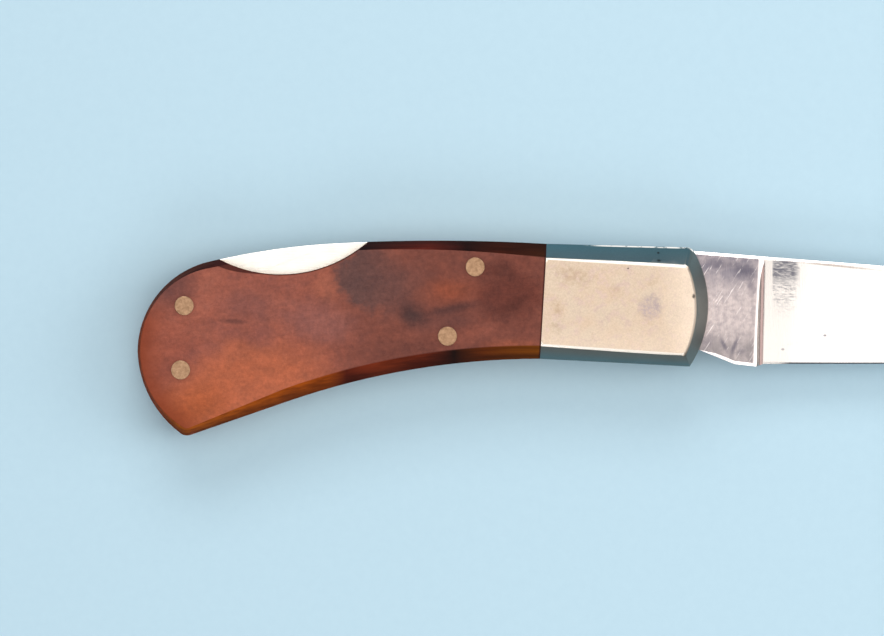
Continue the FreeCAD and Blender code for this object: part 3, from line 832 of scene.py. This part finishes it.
# brass of pins and liners, bronze of the washers
pinBrass = {
    "bright": tint(171, 136, 107),
    "dull": tint(153, 120, 92),
    "rough": (0.52, 0.38),
    "drawn": (4.0, 4.0, 4.0),
}
linerBrass = {
    "bright": tint(214, 176, 104),
    "dull": tint(164, 126, 70),
    "rough": (0.42, 0.28),
    "drawn": (0.1, 6.0, 6.0),
}
washerBronze = {
    "bright": tint(196, 142, 96),
    "dull": tint(146, 98, 64),
    "rough": (0.44, 0.30),
    "drawn": (5.0, 5.0, 1.0),
}
yellowMetal = {
    "cloudNoise": (1.6, 5, 0.65, 0.3),
    "brightFade": (0.36, 0.62),
    "drawnTone": (0.3, [(0.3, (0.66, 0.64, 0.62, 1)), (0.66, (1.1, 1.1, 1.08, 1))]),
    "scratches": (35, 0.15, 0.3, 8.0),
    "bumpDepth": 0.005,
}


def makeBrass(name, finish):
    material, tree, shader, place, _ = startMaterial(name, {"Metallic": 1.0})
    cloudy = noise(tree, place, *yellowMetal["cloudNoise"])
    colour = ramp(tree, cloudy, list(zip(yellowMetal["brightFade"], (finish["dull"], finish["bright"]))))
    fine = noise(tree, stretch(tree, place, finish["drawn"]), 1.0, 4, 0.65)
    height = plus(tree, fine, scratches(tree, place, *yellowMetal["scratches"]))
    wire(tree, shader, {
        "Base Color": tone(tree, colour, fine, *yellowMetal["drawnTone"]),
        "Roughness": remap(tree, cloudy, 0.3, 0.7, *finish["rough"]),
        "Normal": bump(tree, height, yellowMetal["bumpDepth"]),
    })
    return material


woodFinish = makeWood()
nickelFinish = makeNickelSilver()
bladeFinish = makeBladeSteel()
barFinish = makeBarSteel("barSteel", barSteel)
springFinish = makeBarSteel("springSteel", springSteel)
pinFinish = makeBrass("pinBrass", pinBrass)
linerFinish = makeBrass("linerBrass", linerBrass)
bronzeFinish = makeBrass("washerBronze", washerBronze)
print("finishes mixed")

# metal parts that stay as they are: finish, and width of the softened edges in millimetres, 0 for none
metalParts = {
    "blade": (bladeFinish, 0),
    "lock_bar": (barFinish, 0.10),
    "butt_spacer": (barFinish, 0.08),
    "pivot_pin": (nickelFinish, 0),
    "pivot_washer_upper": (bronzeFinish, 0),
    "pivot_washer_lower": (bronzeFinish, 0),
    "lock_bar_pin": (pinFinish, 0.05),
    "butt_pin_top": (pinFinish, 0.05),
    "butt_pin_bottom": (pinFinish, 0.05),
    "scale_rivet_upper": (pinFinish, 0.05),
    "scale_rivet_lower": (pinFinish, 0.05),
    "liner_upper": (linerFinish, 0.06),
    "liner_lower": (linerFinish, 0.06),
}
softening = {"segments": 2, "sharp": math.radians(32)}


def softenNode(name, width):
    node = nodes[name]
    weld = node.modifiers.new("joined", "WELD")
    weld.merge_threshold = onePoint
    flats = node.modifiers.new("flats", "DECIMATE")
    flats.decimate_type = "DISSOLVE"
    flats.angle_limit = oneFlat
    soft = node.modifiers.new("soft", "BEVEL")
    soft.width = width * mm
    soft.segments = softening["segments"]
    soft.limit_method = "ANGLE"
    soft.angle_limit = softening["sharp"]
    soft.use_clamp_overlap = False
    even = node.modifiers.new("even", "WEIGHTED_NORMAL")
    even.keep_sharp = True


for name, (finish, width) in metalParts.items():
    shadeNode(name, finish)
    if width:
        softenNode(name, width)
print("metal parts finished")

# scales and bolsters are worked over by hand: bevels and ridges rounded, fits left tight
# border: width of the strips inside and below it, and how far it is pressed down, in millimetres
sides = {
    "scale": {
        "border": (0.20, 0.32, 0.07),
        "ridge": 0.50,
        "notch": 0.14,
        "finish": woodFinish,
        "slot": "wood",
    },
    "bolster": {
        "border": (0.40, 0.30, 0.14),
        "ridge": 0.45,
        "notch": 0.0,
        "finish": nickelFinish,
        "slot": "nickel_silver",
    },
}
handWork = {
    "slip": 0.06 * mm,  # edges shorter than this at the corners are closed
    "sliver": 0.002 * mm,
    "cutWithin": 0.0001 * mm,
    "flatWithin": 0.01 * mm,
    "fitLength": 5 * mm,
    "fitCuts": 15,
    "ridgeSegments": 3,
    "ridgeAngle": math.radians(20),
    "notchSegments": 2,
    "notchAngle": math.radians(40),
    "notchAlong": (-59.5 * mm, -41.5 * mm),
    "notchAbove": 8 * mm,
    "wellRadius": 2.0 * mm,
    "smoothAngle": math.radians(28),
}


def workingCopy(nodeName, pieceName):
    piece = bpy.data.objects.new(pieceName, nodes[nodeName].data.copy())
    scene.collection.objects.link(piece)
    bpy.ops.object.select_all(action="DESELECT")
    bpy.context.view_layer.objects.active = piece
    piece.select_set(True)
    bpy.ops.mesh.customdata_custom_splitnormals_clear()
    bpy.ops.object.mode_set(mode="EDIT")
    bpy.ops.mesh.select_all(action="SELECT")
    bpy.ops.mesh.remove_doubles(threshold=onePoint)
    bpy.ops.mesh.dissolve_limited(angle_limit=oneFlat)
    bpy.ops.mesh.dissolve_degenerate(threshold=handWork["slip"])
    bpy.ops.object.mode_set(mode="OBJECT")
    return piece


def pick(piece, kind, wanted):
    # selects what is wanted of the piece in edit mode, and counts it
    bpy.ops.mesh.select_mode(type=kind)
    bpy.ops.mesh.select_all(action="DESELECT")
    shape = bmesh.from_edit_mesh(piece.data)
    shape.normal_update()
    parts = {"VERT": shape.verts, "EDGE": shape.edges, "FACE": shape.faces}[kind]
    found = [part for part in parts if wanted(part)]
    for part in found:
        part.select_set(True)
    bmesh.update_edit_mesh(piece.data)
    return len(found)


def roundEdges(piece, wanted, width, segments, clamp=False):
    bpy.ops.object.mode_set(mode="EDIT")
    found = pick(piece, "EDGE", lambda edge: len(edge.link_faces) == 2 and wanted(edge))
    if found:
        bpy.ops.mesh.bevel(
            offset=width * mm, segments=segments, profile=0.5, affect="EDGES", clamp_overlap=clamp)
    bpy.ops.object.mode_set(mode="OBJECT")
    return found


def easeBorder(piece, isFlat, isBevel, top, outward, border):
    # one strip inside the border of the flat, one below it, and the border itself pressed down
    inside, below, press = border

    def atFit(edge):
        # where wood meets metal, which stays level up to its ends
        upright = any(abs(face.normal.x) > 0.9 for face in edge.link_faces)
        return edge.calc_length() > handWork["fitLength"] and upright and any(map(isFlat, edge.link_faces))

    def onBorder(vert):
        atTop = abs(vert.co.z - top) < onePoint
        return atTop and any(map(isFlat, vert.link_faces)) and any(map(isBevel, vert.link_faces))

    bpy.ops.object.mode_set(mode="EDIT")
    pick(piece, "EDGE", atFit)
    bpy.ops.mesh.subdivide(number_cuts=handWork["fitCuts"])
    pick(piece, "FACE", isFlat)
    bpy.ops.mesh.inset(thickness=inside * mm, use_boundary=True, use_even_offset=True)
    pick(piece, "FACE", isBevel)
    cut = (0, 0, top - outward * below * mm)
    bpy.ops.mesh.bisect(plane_co=cut, plane_no=(0, 0, 1), threshold=handWork["cutWithin"])
    found = pick(piece, "VERT", onBorder)
    bpy.ops.transform.translate(value=(0, 0, -outward * press * mm))
    bpy.ops.object.mode_set(mode="OBJECT")
    return found


def tidyFaces():
    bpy.ops.object.mode_set(mode="EDIT")
    bpy.ops.mesh.select_all(action="SELECT")
    bpy.ops.mesh.dissolve_degenerate(threshold=handWork["sliver"])
    bpy.ops.object.mode_set(mode="OBJECT")


def finishSide(kind, side):
    spec = sides[kind]
    nodeName = kind + "_" + side
    piece = workingCopy(nodeName, nodeName + "_polished")
    low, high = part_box(nodeName)
    top, outward = (high.z, 1) if side == "upper" else (low.z, -1)
    wells = [middle(pin) * mm for pin in (*scalePins, "pivot_pin")]

    def isFlat(face):
        return abs(face.normal.z) > 0.999 and abs(face.calc_center_median().z - top) < handWork["flatWithin"]

    def isBevel(face):
        return 0.05 < abs(face.normal.z) < 0.95

    def isWall(face):
        return abs(face.normal.z) < 0.02

    def isRidge(edge):
        return all(map(isBevel, edge.link_faces)) and edge.calc_face_angle(0) > handWork["ridgeAngle"]

    def isNotchRim(edge):
        centre = (edge.verts[0].co + edge.verts[1].co) / 2
        start, end = handWork["notchAlong"]
        inNotch = start < centre.x < end and centre.y > handWork["notchAbove"]
        inWell = any((centre - well).xy.length < handWork["wellRadius"] for well in wells)
        shown = any(isFlat(face) or isBevel(face) for face in edge.link_faces)
        sharp = edge.calc_face_angle(0) > handWork["notchAngle"]
        return inNotch and not inWell and shown and sharp and any(map(isWall, edge.link_faces))

    ridges = roundEdges(piece, isRidge, spec["ridge"], handWork["ridgeSegments"])
    points = easeBorder(piece, isFlat, isBevel, top, outward, spec["border"])
    rims = 0
    if spec["notch"]:
        rims = roundEdges(piece, isNotchRim, spec["notch"], handWork["notchSegments"])
    tidyFaces()
    bpy.ops.object.shade_smooth_by_angle(angle=handWork["smoothAngle"])
    even = piece.modifiers.new("even", "WEIGHTED_NORMAL")
    even.keep_sharp = True
    bpy.ops.object.modifier_apply(modifier="even")
    piece.data.materials.clear()
    piece.data.materials.append(spec["finish"])
    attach(piece, "handle")
    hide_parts(nodeName)
    print(piece.name, "ridges", ridges, "border points", points, "notch edges", rims)


for kind in sides:
    for side in ("upper", "lower"):
        finishSide(kind, side)
print("scales and bolsters polished")

# leaf spring, bent from one strip: its root sits in the spacer, its tip under the tail of the lock bar
leaf = {
    "root": (-63.225, 0.404, 5.92),  # where it leaves the spacer
    "rootLength": 7.99,
    "thickness": 0.90,
    "width": 2.64,
    "bend": 25.0,
    "bendRadius": 15.0,
    "bendSteps": 8,
    "run": 11.727,
    "runSteps": 6,
    "tipRadius": 10.0,
    "tipSteps": 6,
    "tipTaper": 0.80,
    "edge": 0.12,
    "edgeSegments": 2,
    "edgeAngle": math.radians(40),
    "smoothAngle": math.radians(35),
}


def endFace(piece, direction):
    shape = bmesh.from_edit_mesh(piece.data)
    shape.normal_update()
    bpy.ops.mesh.select_all(action="DESELECT")
    far = max(shape.faces, key=lambda face: face.calc_center_median().dot(direction))
    far.select_set(True)
    bmesh.update_edit_mesh(piece.data)


def bendLeaf():
    root = Vector(leaf["root"]) * mm
    angle = math.radians(leaf["bend"])
    along = Vector((math.cos(angle), math.sin(angle), 0))
    arc = Vector((math.sin(angle), 1 - math.cos(angle), 0))  # from end to end of a bend, for a radius of 1
    block = (leaf["rootLength"] * mm, leaf["thickness"] * mm, leaf["width"] * mm)
    bpy.ops.object.select_all(action="DESELECT")
    bpy.ops.mesh.primitive_cube_add(size=1, location=root - Vector((block[0] / 2, 0, 0)), scale=block)
    piece = bpy.context.object
    piece.name = "leaf_spring_bent"
    bpy.ops.object.transform_apply(location=True, rotation=True, scale=True)
    bpy.ops.object.mode_set(mode="EDIT")
    bpy.ops.mesh.select_mode(type="FACE")
    endFace(piece, Vector((1, 0, 0)))
    up = root + Vector((0, leaf["bendRadius"] * mm, 0))  # spin turns clockwise
    bpy.ops.mesh.spin(steps=leaf["bendSteps"], angle=-angle, center=up, axis=(0, 0, 1))
    for _ in range(leaf["runSteps"]):
        move = along * leaf["run"] * mm / leaf["runSteps"]
        bpy.ops.mesh.extrude_region_move(TRANSFORM_OT_translate={"value": move})
    runEnd = root + leaf["bendRadius"] * mm * arc + along * leaf["run"] * mm
    down = runEnd + leaf["tipRadius"] * mm * Vector((math.sin(angle), -math.cos(angle), 0))
    bpy.ops.mesh.spin(steps=leaf["tipSteps"], angle=angle, center=down, axis=(0, 0, 1))
    tip = runEnd + leaf["tipRadius"] * mm * arc
    tipBack = tip + Vector((0, leaf["thickness"] / 2 * mm, 0))
    bpy.ops.transform.resize(value=(1, leaf["tipTaper"], 1), center_override=tipBack)
    bpy.ops.mesh.select_all(action="SELECT")
    bpy.ops.mesh.remove_doubles(threshold=onePoint)
    bpy.ops.mesh.normals_make_consistent(inside=False)
    bpy.ops.object.mode_set(mode="OBJECT")

    def isSharp(edge):
        return edge.calc_face_angle(0) > leaf["edgeAngle"]

    rounded = roundEdges(piece, isSharp, leaf["edge"], leaf["edgeSegments"], True)
    bpy.ops.object.shade_smooth_by_angle(angle=leaf["smoothAngle"])
    piece.data.materials.append(springFinish)
    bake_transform(piece)
    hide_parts("leaf_spring")
    print("leaf spring bent, rounded edges", rounded)


bendLeaf()
